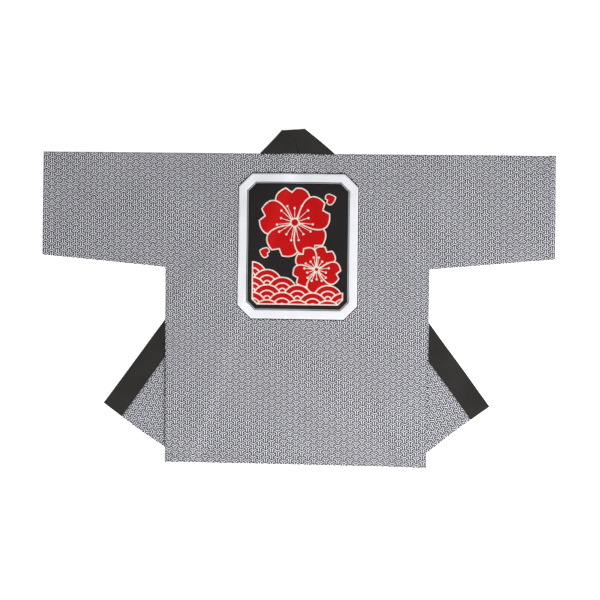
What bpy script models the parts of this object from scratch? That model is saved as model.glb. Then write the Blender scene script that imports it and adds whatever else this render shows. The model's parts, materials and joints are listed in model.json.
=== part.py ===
"""A happi coat that lies flat with its back up and both fronts turned outward under it.

Units are metres and +Z is up. +Y points to the collar and +X to the wearer's right.
Each piece is drawn as its flat cut, sliced along its folds, and then laid in its place:
the turned flaps lie on the floor, the fronts lie on the flaps, and the back lies on the fronts.
Only right-hand pieces are drawn. The left-hand ones are their mirror images.
"""

import math
from collections import namedtuple

import bmesh
import bpy
from mathutils import Vector

# Sizes of the coat, laid flat.
BODY_LENGTH = 0.760  # shoulder to hem
CHEST_HALF = 0.322  # centre back to the armhole seam
HEM_HALF = 0.318  # centre back to the side seam at the hem
ARMHOLE_DROP = 0.278  # shoulder to underarm
CUFF_REACH = 0.627  # centre back to the sleeve's end
CUFF_DROP = 0.250  # height of the sleeve's end
NECK_HALF = 0.0905  # centre back to the collar seam on the shoulder
NECK_DROP = 0.365  # shoulder to where the collar seam turns straight down
COLLAR_WIDTH = 0.056
FRONT_EDGE = 0.021  # centre to the collar's free edge, down the front
COLLAR_RISE = 0.0592  # the collar's height above the shoulder line at centre back
COLLAR_TOP_HALF = 0.0255  # half of the collar's top edge
COLLAR_MITRE = 0.836  # share of the collar's slanted fold that its lower layer reaches up

# The line on which each front is turned under.
TURN_AT_HEM = 0.2727  # centre to the line, at the hem
TURN_ANGLE = math.radians(18.03)  # between the line and the centre of the coat

# Thicknesses and clearances.
CLOTH = 0.0010
BAND = 0.0020  # the collar is several layers thick
LAYER_GAP = 0.0004  # between one layer and the next
SEAM_GAP = 0.0003  # between two pieces that are sewn together
PITCH = BAND + LAYER_GAP  # from one layer's underside to the next one's
BEND = PITCH / 2  # radius of a fold, in the middle of the cloth
HALF_TURN = math.pi * BEND  # cloth that a full fold takes up
QUARTER_TURN = HALF_TURN / 2
FOLD_STEPS = 6  # flat facets round a full fold

# Cloth that steps up over a layer below it stays level, then slopes down.
LEVEL_WIDTH = 0.005
SLOPE_WIDTH = 0.036
SLOPE_STEPS = 4

# Short stretches beside a seam's end that are left without a rolled edge.
NECK_RELIEF = 0.0025
UNDERARM_RELIEF = 0.0022
# The front's neck point stops this far short of the collar, so that the slanted seam
# between them stays open where both are bent over the fold.
NECK_EASE = 0.0018

SLEEVE_RINGS = 5
SLEEVE_ARC_STEPS = 8

# Linear values of the finishes' colours.
CLOTH_COLOUR = (0.31, 0.31, 0.32, 1.0)
COLLAR_COLOUR = (0.028, 0.028, 0.029, 1.0)

# How far the collar's fold stands out above its top edge.
FOLD_RUN = Vector((NECK_HALF - COLLAR_TOP_HALF, COLLAR_RISE - SEAM_GAP))
FOLD_PROUD = (BEND + BAND / 2) * FOLD_RUN.x / FOLD_RUN.length
SHOULDER_Y = (BODY_LENGTH - COLLAR_RISE - FOLD_PROUD) / 2

# A straight line on the ground: a point on it, and the direction in which cloth crosses it.
Line = namedtuple("Line", "start out")


def at(across, drop):
    """The point at a distance from centre back, and below the shoulder line."""
    return Vector((across, SHOULDER_Y - drop))


def line_between(first, second, away_from):
    along = (second - first).normalized()
    out = Vector((along.y, -along.x))
    if (away_from - first).dot(out) > 0:
        out = -out
    return Line(first, out)


def past(line, point):
    """How far a point lies past a line."""
    return (point - line.start).dot(line.out)


def landed(line, point):
    """Where a point comes to lie once the cloth is folded over at a line."""
    return point - (2 * past(line, point) - HALF_TURN) * line.out


MID_SIDE = at(CHEST_HALF, BODY_LENGTH / 2)
MID_CENTRE = at(0, BODY_LENGTH / 2)
TURN_AT_SHOULDER = TURN_AT_HEM - BODY_LENGTH * math.tan(TURN_ANGLE)
FRONT_TURN = line_between(at(TURN_AT_SHOULDER, 0), at(TURN_AT_HEM, BODY_LENGTH), MID_SIDE)
COLLAR_TURN = line_between(at(NECK_HALF, -SEAM_GAP), at(COLLAR_TOP_HALF, -COLLAR_RISE), MID_CENTRE)
SIDE_SEAM = line_between(at(CHEST_HALF, ARMHOLE_DROP), at(HEM_HALF, BODY_LENGTH), MID_CENTRE)
SHOULDER_SEAM = line_between(at(0, 0), at(CHEST_HALF, 0), MID_CENTRE)

# The collar's free edge: from the collar's fold to the front's hem.
COLLAR_START = COLLAR_TURN.start.lerp(at(COLLAR_TOP_HALF, -COLLAR_RISE), COLLAR_MITRE)
COLLAR_EDGE = [COLLAR_START, at(FRONT_EDGE, NECK_DROP), at(FRONT_EDGE, BODY_LENGTH)]
FLAP_EDGE = [landed(FRONT_TURN, point) for point in COLLAR_EDGE]
FLAP_MIDDLE = at(TURN_AT_HEM, NECK_DROP + COLLAR_RISE)
FLAP_SIDES = [line_between(a, b, FLAP_MIDDLE) for a, b in zip(FLAP_EDGE, FLAP_EDGE[1:])]


# How high each layer lies.


def level(step):
    """Share of a layer's height that is left at a step of its slope, from 1 to 0."""
    share = step / SLOPE_STEPS
    return 1 - share * share * (3 - 2 * share)


def slope(distance):
    """Share of a layer's height at a distance past the edge of what lies below it."""
    steps = (distance - LEVEL_WIDTH) / SLOPE_WIDTH * SLOPE_STEPS
    steps = min(max(steps, 0), SLOPE_STEPS)
    whole = min(int(steps), SLOPE_STEPS - 1)
    return level(whole) + (steps - whole) * (level(whole + 1) - level(whole))


def front_height(point):
    """The underside of a front: one layer up over its own flap, and else on the floor."""
    return PITCH * slope(max(past(side, point) for side in FLAP_SIDES))


def back_height(point):
    """The underside of the back: on the fronts, and on the floor between their turned edges."""
    return slope(past(FRONT_TURN, point)) * (PITCH + front_height(point))


# Where the middle of the cloth lies, from a point of its flat cut.


Spot = namedtuple("Spot", "ground height normal")
UP = Vector((0, 0, 1))


def turned(line, point, height, way):
    """Cloth that bends up (way 1) or down (way -1) at a line, and lies flat again after a half turn."""
    beyond = past(line, point)
    if beyond >= HALF_TURN:
        return Spot(landed(line, point), height + way * PITCH, -UP)
    angle = beyond / BEND
    ground = point + (BEND * math.sin(angle) - beyond) * line.out
    lean = -way * math.sin(angle) * line.out
    return Spot(ground, height + way * BEND * (1 - math.cos(angle)), Vector((*lean, math.cos(angle))))


def rolled(line, point, underside, way):
    """The rolled edge at a seam, which ends half a seam gap short of the piece sewn to it."""
    foot = point - past(line, point) * line.out
    spot = turned(line, point, underside(foot) + CLOTH / 2, way)
    short = way * SEAM_GAP / 2 if spot.normal.z < 0.01 else 0
    return spot._replace(height=spot.height - short)


def lay_panel(point, underside, way):
    """A front or back, with its shoulder and side edges rolled towards each other."""
    for seam in (SHOULDER_SEAM, SIDE_SEAM):
        if past(seam, point) > 0:
            return rolled(seam, point, underside, way)
    return Spot(point, underside(point) + CLOTH / 2, UP)


def lay_back(point):
    return lay_panel(point, back_height, -1)


def lay_front(point):
    if past(FRONT_TURN, point) > 0:
        return turned(FRONT_TURN, point, PITCH + CLOTH / 2, -1)
    return lay_panel(point, front_height, 1)


def lay_collar(point):
    if past(COLLAR_TURN, point) > 0:
        spot = turned(COLLAR_TURN, point, BAND / 2, 1)
        if spot.normal.z > -1:
            return spot
        return spot._replace(height=back_height(spot.ground) + BAND / 2)
    if past(FRONT_TURN, point) > 0:
        return turned(FRONT_TURN, point, PITCH + BAND / 2, -1)
    return Spot(point, front_height(point) + BAND / 2, UP)


# Making a piece from its flat cut.


def flat_cut(outline):
    bm = bmesh.new()
    bm.faces.new([bm.verts.new((*point, 0)) for point in outline])
    return bm


def slice_along(bm, line, distances, faces=None):
    """Splits the flat cut along lines at these distances past a line."""
    geometry = set(faces or bm.faces)
    for distance in distances:
        edges = {edge for face in geometry for edge in face.edges}
        verts = {vert for face in geometry for vert in face.verts}
        made = bmesh.ops.bisect_plane(
            bm,
            geom=[*verts, *edges, *geometry],
            dist=1e-7,
            plane_co=(*(line.start + distance * line.out), 0),
            plane_no=(*line.out, 0),
        )
        geometry = {item for item in made["geom"] if isinstance(item, bmesh.types.BMFace)}


def slice_fold(bm, line):
    slice_along(bm, line, [HALF_TURN * step / FOLD_STEPS for step in range(FOLD_STEPS + 1)])


def slice_seam(bm, line):
    slice_along(bm, line, [HALF_TURN * step / FOLD_STEPS for step in range(FOLD_STEPS // 2)])


def slice_slope(bm, line, faces=None):
    steps = range(SLOPE_STEPS + 1)
    slice_along(bm, line, [LEVEL_WIDTH + SLOPE_WIDTH * step / SLOPE_STEPS for step in steps], faces)


def untouched(bm):
    """The faces that stay where they are when a front is turned."""
    return [face for face in bm.faces if past(FRONT_TURN, face.calc_center_median().xy) < 0]


def thicken(bm, thickness, lay, side):
    """Gives the flat cut its two skins and lays them in place, on the right (side 1) or left (-1)."""
    bmesh.ops.triangulate(bm, faces=bm.faces[:])
    lower = bm.verts[:]
    made = bmesh.ops.extrude_face_region(bm, geom=bm.faces[:])
    upper = [item for item in made["geom"] if isinstance(item, bmesh.types.BMVert)]
    for skin, offset in ((lower, -thickness / 2), (upper, thickness / 2)):
        for vert in skin:
            mirror = -1 if vert.co.x < 0 else 1
            spot = lay(Vector((abs(vert.co.x), vert.co.y)))
            place = Vector((*spot.ground, spot.height)) + offset * spot.normal
            vert.co = (side * mirror * place.x, place.y, place.z)
    bmesh.ops.recalc_face_normals(bm, faces=bm.faces[:])


def add_object(name, bm, colour, roughness):
    mesh = bpy.data.meshes.new(name)
    bm.to_mesh(mesh)
    bm.free()
    mesh.shade_smooth()
    mesh.set_sharp_from_angle(angle=math.radians(40))
    material = bpy.data.materials.new(name)
    material.use_nodes = True
    shader = material.node_tree.nodes["Principled BSDF"]
    shader.inputs["Base Color"].default_value = colour
    shader.inputs["Roughness"].default_value = roughness
    mesh.materials.append(material)
    bpy.context.scene.collection.objects.link(bpy.data.objects.new(name, mesh))


def add_cloth(name, bm):
    add_object(name, bm, CLOTH_COLOUR, 0.85)


# The pieces.


def side_outline(neck_end):
    """The shoulder, armhole and side edges that front and back share, from the neck to the hem."""
    edge = QUARTER_TURN * SIDE_SEAM.out
    underarm = at(CHEST_HALF, ARMHOLE_DROP + UNDERARM_RELIEF)
    hem = at(HEM_HALF, BODY_LENGTH)
    return [
        at(neck_end, 0),
        at(NECK_HALF + NECK_RELIEF, 0),
        at(NECK_HALF + NECK_RELIEF, -QUARTER_TURN),
        at(CHEST_HALF, -QUARTER_TURN),
        underarm,
        underarm + edge,
        hem + edge,
        hem,
    ]


def make_back():
    bm = flat_cut([*side_outline(0), at(0, BODY_LENGTH)])
    for seam in (SHOULDER_SEAM, SIDE_SEAM):
        slice_seam(bm, seam)
    for edge in (FRONT_TURN, *FLAP_SIDES):
        slice_slope(bm, edge)
    bmesh.ops.mirror(bm, geom=bm.verts[:] + bm.edges[:] + bm.faces[:], axis="X", merge_dist=1e-6)
    thicken(bm, CLOTH, lay_back, 1)
    add_cloth("back", bm)


def make_front(name, side):
    seam = FRONT_EDGE + COLLAR_WIDTH + SEAM_GAP
    bm = flat_cut([*side_outline(NECK_HALF + NECK_EASE), at(seam, BODY_LENGTH), at(seam, NECK_DROP)])
    for line in (SHOULDER_SEAM, SIDE_SEAM):
        slice_seam(bm, line)
    slice_fold(bm, FRONT_TURN)
    for edge in FLAP_SIDES:
        slice_slope(bm, edge, untouched(bm))
    thicken(bm, CLOTH, lay_front, side)
    add_cloth(name, bm)


def make_collar(name, side):
    """A band that runs up the front and turns over at the neck to form half of the back collar."""
    neck = COLLAR_TURN.start
    top = at(COLLAR_TOP_HALF, -COLLAR_RISE)
    centre_back = [at(SEAM_GAP / 2, -COLLAR_RISE), at(SEAM_GAP / 2, -SEAM_GAP)]
    behind = [landed(COLLAR_TURN, point) for point in (top, *centre_back, neck)]
    seam = FRONT_EDGE + COLLAR_WIDTH
    seam_edge = [neck, at(seam, NECK_DROP), at(seam, BODY_LENGTH)]
    bm = flat_cut([*seam_edge, *reversed(COLLAR_EDGE), top, *behind])
    slice_fold(bm, COLLAR_TURN)
    slice_fold(bm, FRONT_TURN)
    for edge in FLAP_SIDES:
        slice_slope(bm, edge, untouched(bm))
    out = FRONT_TURN.out - 2 * FRONT_TURN.out.dot(COLLAR_TURN.out) * COLLAR_TURN.out
    slice_slope(bm, Line(landed(COLLAR_TURN, FRONT_TURN.start), out))
    thicken(bm, BAND, lay_collar, side)
    add_object(name, bm, COLLAR_COLOUR, 0.9)


def sleeve_loop(bm, across, radius, side):
    """One ring round the flattened sleeve: its folded top edge, then its underside."""
    share = (across - CHEST_HALF) / (CUFF_REACH - CHEST_HALF)
    under = ARMHOLE_DROP + (CUFF_DROP - ARMHOLE_DROP) * share
    ring = []
    for drop, first in ((0, -90), (under, 90)):
        for step in range(SLEEVE_ARC_STEPS + 1):
            angle = math.radians(first + 180 * step / SLEEVE_ARC_STEPS)
            centre = at(across, drop)
            height = CLOTH / 2 + BEND + radius * math.sin(angle)
            ring.append(bm.verts.new((side * centre.x, centre.y + radius * math.cos(angle), height)))
    return ring


def join_rings(bm, first, second):
    for near, far, next_far, next_near in zip(first, second, second[1:] + second[:1], first[1:] + first[:1]):
        bm.faces.new((near, far, next_far, next_near))


def make_sleeve(name, side):
    """A tube pressed flat along the shoulder line, open at the armhole and the cuff."""
    bm = bmesh.new()
    start = CHEST_HALF + SEAM_GAP
    walls = []
    for radius in (BEND + CLOTH / 2, BEND - CLOTH / 2):
        spots = [start + (CUFF_REACH - start) * ring / (SLEEVE_RINGS - 1) for ring in range(SLEEVE_RINGS)]
        rings = [sleeve_loop(bm, across, radius, side) for across in spots]
        for ring, next_ring in zip(rings, rings[1:]):
            join_rings(bm, ring, next_ring)
        walls.append(rings)
    outer, inner = walls
    join_rings(bm, outer[0], inner[0])
    join_rings(bm, outer[-1], inner[-1])
    bmesh.ops.recalc_face_normals(bm, faces=bm.faces[:])
    add_cloth(name, bm)


def main():
    for obj in list(bpy.data.objects):
        bpy.data.objects.remove(obj)
    make_back()
    for label, side in (("right", 1), ("left", -1)):
        make_front("front_" + label, side)
        make_collar("collar_" + label, side)
        make_sleeve("sleeve_" + label, side)


main()
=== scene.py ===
"""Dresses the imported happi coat: printed cotton, black collar band, printed back panel and stitching.

The coat lies on its front with both fronts turned outward under it. Units are metres, +Z is up,
+Y points to the collar and +X to the wearer's right. Each cloth piece is drawn as its flat cut,
split along its folds and into small squares, and laid where its solid lies.
"""

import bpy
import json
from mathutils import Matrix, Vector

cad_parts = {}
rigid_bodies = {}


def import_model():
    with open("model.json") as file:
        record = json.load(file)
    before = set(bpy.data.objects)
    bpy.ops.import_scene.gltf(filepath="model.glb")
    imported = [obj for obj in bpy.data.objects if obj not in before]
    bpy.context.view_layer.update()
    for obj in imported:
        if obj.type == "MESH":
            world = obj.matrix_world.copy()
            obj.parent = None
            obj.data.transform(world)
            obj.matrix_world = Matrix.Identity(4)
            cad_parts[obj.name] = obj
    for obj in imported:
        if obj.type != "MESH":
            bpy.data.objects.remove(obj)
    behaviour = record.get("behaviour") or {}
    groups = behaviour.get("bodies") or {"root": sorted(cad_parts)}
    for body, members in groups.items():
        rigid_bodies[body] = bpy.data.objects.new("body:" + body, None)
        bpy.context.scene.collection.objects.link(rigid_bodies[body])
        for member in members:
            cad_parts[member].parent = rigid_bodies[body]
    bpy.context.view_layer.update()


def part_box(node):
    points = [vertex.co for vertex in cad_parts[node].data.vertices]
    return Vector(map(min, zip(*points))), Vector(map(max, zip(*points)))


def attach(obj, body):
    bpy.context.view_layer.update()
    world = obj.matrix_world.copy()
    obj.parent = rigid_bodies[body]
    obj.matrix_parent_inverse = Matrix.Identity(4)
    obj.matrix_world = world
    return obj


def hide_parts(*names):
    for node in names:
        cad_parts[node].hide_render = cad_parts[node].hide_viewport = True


bl_info = {
    "name": "Happi Coat",
    "version": (1, 0, 0),
    "blender": (4, 5, 0),
    "location": "View3D > Sidebar > Happi Coat",
    "description": "Builds a happi coat laid flat, with its print, seams and stitching",
    "category": "Add Mesh",
}

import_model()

import json
import math
from collections import namedtuple

import bmesh
import bpy
from mathutils import Matrix, Vector, noise
from mathutils.geometry import delaunay_2d_cdt, interpolate_bezier, intersect_point_line

MM = 0.001

# The coat's cut, laid flat. Drops are measured down from the shoulder line.
BODY_LENGTH = 0.760
CHEST_HALF = 0.322
HEM_HALF = 0.318
ARMHOLE_DROP = 0.278
CUFF_REACH = 0.627
CUFF_DROP = 0.250
NECK_HALF = 0.0905
NECK_DROP = 0.365  # where the collar seam turns straight down
COLLAR_WIDTH = 0.056
FRONT_EDGE = 0.021  # centre to the collar's free edge, down the front
FRONT_SEAM = FRONT_EDGE + COLLAR_WIDTH
COLLAR_RISE = 0.0592
COLLAR_TOP_HALF = 0.0255
COLLAR_MITRE = 0.836  # share of the collar's slanted fold that its lower layer reaches up
TURN_AT_HEM = 0.2727  # centre to the line on which a front is turned under, at the hem
TURN_ANGLE = math.radians(18.03)

# How the layers lie.
CLOTH_SOLID = 0.0010  # thickness of the solids, whose middles the cloth follows
BAND_SOLID = 0.0020
LAYER_PITCH = 0.0024
SEAM_GAP = 0.0003
BEND = LAYER_PITCH / 2
HALF_TURN = math.pi * BEND
QUARTER_TURN = HALF_TURN / 2
FOLD_STEPS = 10  # facets of a whole fold
ROLL_TURNS = 0.4  # share of a fold that is split finely where an edge is only rolled over
LEVEL_WIDTH = 0.005
SLOPE_WIDTH = 0.036
NECK_RELIEF = 0.0025  # from the neck to where the shoulder edge begins to be rolled
UNDERARM_RELIEF = 0.0022  # from the armhole's foot to where the side edge begins to be
NECK_EASE = 0.0018  # from the collar to the fronts, at the neck

# How the cloth is finished.
CLOTH = 0.0008
BAND = 0.0018
HEM_WIDTH = 0.018  # cloth turned in and sewn down at hems and cuffs
HEM_RISE = 0.0004  # how much thicker a hem is
HEM_STEP = 0.0016  # width of the step at the turned-in edge
STITCH_INSET = 0.0020  # from the turned-in edge to the row of stitches
STITCH_ROW = HEM_WIDTH - STITCH_INSET
STITCH_DIP = 0.0003
STITCH_DIP_WIDTH = 0.0012
SEAM_DIP = 0.0003  # how far cloth sinks towards a seam
SEAM_DIP_WIDTH = 0.0020
EDGE_STEPS = (0.04, 0.3, 1.0)  # places of the rounded edge's slices, as shares of its radius
EDGE_LEAST = 0.02  # keeps the rim of a rounded edge a little open, so that its faces have an area

# The squares that a flat cut is split into.
GRID = 0.006
BACK_GRID = 0.005  # finer, to carry the waves below the panel
GRID_SNAP = 0.12  # share of a square within which a point counts as on its side
ROW_STEP = 0.001  # between the places on a row of stitches
BACK_ROW_STEP = 0.0015
MIDDLE_SNAP = 1e-6  # closer than this to the middle of the back is on it

# The printed panel on the back: a white frame with cut corners round a black field.
PANEL_GRID = 0.004
PRINT_RISE = 0.00018  # pigment stands this far above the cloth
PRINT_DEPTH = 0.0003  # and reaches this far into it
PRINT_SLIVER = 0.00002  # a triangle of it that is thinner than this is merged into its neighbours


def add(tree, kind, *values, named=None, **settings):
    """Adds a node with its settings, and returns its first output.

    The values fill its enabled inputs in order, and the named ones by name. Sockets are linked.
    """
    node = tree.nodes.new(kind)
    for name, value in settings.items():
        setattr(node, name, value)
    pairs = list(zip([socket for socket in node.inputs if socket.enabled], values))
    pairs += [(node.inputs[name], value) for name, value in (named or {}).items()]
    for socket, value in pairs:
        if isinstance(value, bpy.types.NodeSocket):
            tree.links.new(value, socket)
        elif value is not None:
            socket.default_value = value
    return next((socket for socket in node.outputs if socket.enabled), None)


def linear(hex_colour):
    """An sRGB hex colour as linear red, green and blue, and full alpha."""
    parts = [int(hex_colour[place : place + 2], 16) / 255 for place in (1, 3, 5)]
    return (*(part / 12.92 if part <= 0.04045 else ((part + 0.055) / 1.055) ** 2.4 for part in parts), 1)


# Lines on the ground, and what folding at them does.

Line = namedtuple("Line", "start out")  # a point on it, and the direction in which cloth crosses it
SHOULDER_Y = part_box("sleeve_right")[1].y - (BEND + CLOTH_SOLID / 2)


def at(across, drop):
    """The point at a distance from centre back, and below the shoulder line."""
    return Vector((across, SHOULDER_Y - drop))


def line_between(first, second, away_from):
    """The line through two points, which cloth crosses on its way out from a third."""
    along = (second - first).normalized()
    out = Vector((along.y, -along.x))
    if (away_from - first).dot(out) > 0:
        out = -out
    return Line(first, out)


def past(line, point):
    """How far a point lies past a line."""
    return (point - line.start).dot(line.out)


def landed(line, point):
    """Where a point comes to lie once the cloth is folded over at a line."""
    return point - (2 * past(line, point) - HALF_TURN) * line.out


def unfolded(fold, line):
    """The line in the flat cut that a fold carries to this line."""
    return Line(landed(fold, line.start), line.out - 2 * line.out.dot(fold.out) * fold.out)


MID_SIDE = at(CHEST_HALF, BODY_LENGTH / 2)
MID_CENTRE = at(0, BODY_LENGTH / 2)
TURN_AT_SHOULDER = TURN_AT_HEM - BODY_LENGTH * math.tan(TURN_ANGLE)
FRONT_TURN = line_between(at(TURN_AT_SHOULDER, 0), at(TURN_AT_HEM, BODY_LENGTH), MID_SIDE)
COLLAR_TOP = at(COLLAR_TOP_HALF, -COLLAR_RISE)
COLLAR_TURN = line_between(at(NECK_HALF, -SEAM_GAP), COLLAR_TOP, MID_CENTRE)
SIDE_SEAM = line_between(at(CHEST_HALF, ARMHOLE_DROP), at(HEM_HALF, BODY_LENGTH), MID_CENTRE)
SHOULDER_SEAM = line_between(at(0, 0), at(CHEST_HALF, 0), MID_CENTRE)
UNDERARM_SEAM = line_between(at(CHEST_HALF, ARMHOLE_DROP), at(CUFF_REACH, CUFF_DROP), at(CUFF_REACH, 0))

COLLAR_START = COLLAR_TURN.start.lerp(COLLAR_TOP, COLLAR_MITRE)
COLLAR_EDGE = [COLLAR_START, at(FRONT_EDGE, NECK_DROP), at(FRONT_EDGE, BODY_LENGTH)]
FLAP_EDGE = [landed(FRONT_TURN, point) for point in COLLAR_EDGE]
FLAP_MIDDLE = at(TURN_AT_HEM, NECK_DROP + COLLAR_RISE)
FLAP_SIDES = [line_between(a, b, FLAP_MIDDLE) for a, b in zip(FLAP_EDGE, FLAP_EDGE[1:])]


def ramp(value, start, end):
    """Rises smoothly from 0 to 1 as a value goes from a start to an end, above or below it."""
    share = min(max((value - start) / (end - start), 0), 1)
    return share * share * (3 - 2 * share)


# How high each layer lies, and where the middle of the cloth lies from a point of its flat cut.


def slope(distance):
    """Share of a layer's height at a distance past the edge of what lies below it."""
    return ramp(distance, LEVEL_WIDTH + SLOPE_WIDTH, LEVEL_WIDTH)


def front_height(point):
    """The underside of a front: one layer up over its own flap, and else on the floor."""
    return LAYER_PITCH * slope(max(past(side, point) for side in FLAP_SIDES))


def back_height(point):
    """The underside of the back: on the fronts, and on the floor between their turned edges."""
    return slope(past(FRONT_TURN, point)) * (LAYER_PITCH + front_height(point))


Spot = namedtuple("Spot", "ground height normal")
UP = Vector((0, 0, 1))


def turned(line, point, height, way):
    """Cloth that bends up (way 1) or down (way -1) at a line, and lies flat again after a half turn."""
    beyond = past(line, point)
    if beyond >= HALF_TURN:
        return Spot(landed(line, point), height + way * LAYER_PITCH, -UP)
    angle = beyond / BEND
    ground = point + (BEND * math.sin(angle) - beyond) * line.out
    lean = -way * math.sin(angle) * line.out
    return Spot(ground, height + way * BEND * (1 - math.cos(angle)), Vector((*lean, math.cos(angle))))


def rolled(line, point, underside, way):
    """The rolled edge at a seam, which ends half a seam gap short of the piece sewn to it."""
    foot = point - past(line, point) * line.out
    spot = turned(line, point, underside(foot) + CLOTH_SOLID / 2, way)
    short = way * SEAM_GAP / 2 if spot.normal.z < 0.01 else 0
    return spot._replace(height=spot.height - short)


def on_floor(point):
    return 0


def lay_panel(point, underside, way):
    """A front or back, with its shoulder and side edges rolled towards each other."""
    for seam in (SHOULDER_SEAM, SIDE_SEAM):
        if past(seam, point) > 0:
            return rolled(seam, point, underside, way)
    return Spot(point, underside(point) + CLOTH_SOLID / 2, UP)


def lay_back(point):
    return lay_panel(point, back_height, -1)


def lay_front(point):
    if past(FRONT_TURN, point) > 0:
        return turned(FRONT_TURN, point, LAYER_PITCH + CLOTH_SOLID / 2, -1)
    return lay_panel(point, front_height, 1)


def lay_collar(point):
    if past(COLLAR_TURN, point) > 0:
        spot = turned(COLLAR_TURN, point, BAND_SOLID / 2, 1)
        if spot.normal.z > -1:
            return spot
        return spot._replace(height=back_height(spot.ground) + BAND_SOLID / 2)
    if past(FRONT_TURN, point) > 0:
        return turned(FRONT_TURN, point, LAYER_PITCH + BAND_SOLID / 2, -1)
    return Spot(point, front_height(point) + BAND_SOLID / 2, UP)


def lay_sleeve(point):
    """The front half lies on the floor, and the back half is folded up over it at the shoulder line."""
    if past(SHOULDER_SEAM, point) < HALF_TURN:
        if past(SHOULDER_SEAM, point) > 0:
            return turned(SHOULDER_SEAM, point, CLOTH_SOLID / 2, 1)
        if past(UNDERARM_SEAM, point) > 0:
            return rolled(UNDERARM_SEAM, point, on_floor, 1)
        return Spot(point, CLOTH_SOLID / 2, UP)
    above = landed(SHOULDER_SEAM, point)
    if past(UNDERARM_SEAM, above) > 0:
        spot = rolled(UNDERARM_SEAM, above, on_floor, -1)
        return Spot(spot.ground, spot.height + LAYER_PITCH, -spot.normal)
    return Spot(above, CLOTH_SOLID / 2 + LAYER_PITCH, -UP)


# How unevenly the pressed cloth was laid down. All layers share it, so they never cross.

RUMPLE_LENGTH = 0.11
RUMPLE_HEIGHT = 0.0011
FINE_SHARE = 0.18  # height of the fine waves, as a share of that
FINE_LENGTH = RUMPLE_LENGTH / 3
DRIFT = 0.0009  # how far the cloth has crept sideways, here and there
DRIFT_LENGTH = 0.16
# Each fade has two distances from the centre: where a slip is nil, and where it is whole.
COLLAR_LEAN = -0.0142  # how far the collar's top has slipped to the coat's left
COLLAR_LIFT = 0.0013  # and how far up
COLLAR_TILT = 0.070  # slope of its top edge
LEAN_FROM = 0.020  # below the shoulder line
LEAN_FADE = (0.22, 0.12)
SLEEVE_SLIP = 0.0028  # how far both cuffs have slipped to the coat's right
SLEEVE_FADE = (0.34, 0.62)
HEM_SKEW = -0.0145  # slope of the hem
HEM_FADE = (0.40, 0.30)
SKEW_DROPS = (0.30, 0.70)  # the same, as distances below the shoulder line


def waves(place, length, layer):
    """Smooth waves of about this length over the floor, from -1 to 1. Each layer has others."""
    return noise.noise(Vector((*place.xy / length, layer)))


def uneven(place):
    """The place moved as the cloth's slight waves move it, and as the coat was laid down askew."""
    rumple = 0.5 + 0.5 * waves(place, RUMPLE_LENGTH, 0) + FINE_SHARE * waves(place, FINE_LENGTH, 9)
    across, along = (DRIFT * waves(place, DRIFT_LENGTH, layer) for layer in (4.5, 8.5))
    reach, drop = abs(place.x), SHOULDER_Y - place.y
    lean = COLLAR_LEAN * max(LEAN_FROM - drop, 0) / (COLLAR_RISE + LEAN_FROM) * ramp(reach, *LEAN_FADE)
    slip = SLEEVE_SLIP * ramp(reach, *SLEEVE_FADE)
    tilt = (COLLAR_LIFT + COLLAR_TILT * place.x) * max(-drop, 0) / COLLAR_RISE
    skew = HEM_SKEW * place.x * ramp(reach, *HEM_FADE) * ramp(drop, *SKEW_DROPS)
    return place + Vector((across + lean + slip, along + tilt + skew, max(RUMPLE_HEIGHT * rumple, 0)))


# Making a piece of cloth from its flat cut.

Edge = namedtuple("Edge", "start end finish")  # finish is hem, fold or seam


def distance_to(edge, point):
    """Distance from a point to an edge, which ends at its two ends."""
    share = min(max(intersect_point_line(point, edge.start, edge.end)[1], 0), 1)
    return (point - edge.start.lerp(edge.end, share)).length


def edge_chain(points, finish):
    return [Edge(start, end, finish) for start, end in zip(points, points[1:])]


def slice_along(bm, line, distances, faces=None, snap=1e-6):
    """Splits the flat cut along lines at these distances past a line."""
    geometry = list(faces or bm.faces)
    for distance in distances:
        edges = dict.fromkeys(edge for face in geometry for edge in face.edges)
        verts = dict.fromkeys(vert for face in geometry for vert in face.verts)
        made = bmesh.ops.bisect_plane(
            bm,
            geom=[*verts, *edges, *geometry],
            dist=snap,
            plane_co=(*(line.start + distance * line.out), 0),
            plane_no=(*line.out, 0),
        )
        geometry = [item for item in made["geom"] if isinstance(item, bmesh.types.BMFace)]


def slice_fold(bm, line, turns=1.0):
    """Splits the flat cut into the facets of a fold, or of a share of it."""
    steps = range(round(FOLD_STEPS * turns) + 1)
    slice_along(bm, line, [HALF_TURN * step / FOLD_STEPS for step in steps])


def slice_grid(bm, size):
    """Splits the flat cut into squares. No slivers arise, because nearby points count as on a side."""
    low = Vector((min(vert.co.x for vert in bm.verts), min(vert.co.y for vert in bm.verts)))
    high = Vector((max(vert.co.x for vert in bm.verts), max(vert.co.y for vert in bm.verts)))
    for axis, out in enumerate((Vector((1, 0)), Vector((0, 1)))):
        count = int((high[axis] - low[axis]) / size)
        spacing = (high[axis] - low[axis]) / count
        for step in range(1, count):
            bmesh.ops.bisect_plane(
                bm,
                geom=bm.verts[:] + bm.edges[:] + bm.faces[:],
                dist=GRID_SNAP * size,
                plane_co=(*(out * (low[axis] + spacing * step)), 0),
                plane_no=(*out, 0),
            )


def slice_beside(bm, edge, distances):
    """Splits the small faces beside one edge, for its rounding, stitch row or dip."""
    along = (edge.end - edge.start).normalized()
    out = Vector((along.y, -along.x))
    reach = max(distances) + 2 * GRID
    for sign in (1, -1):
        near = [face for face in bm.faces if distance_to(edge, face.calc_center_median().xy) < reach]
        slice_along(bm, Line(edge.start, sign * out), distances, near, snap=1e-5)


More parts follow.
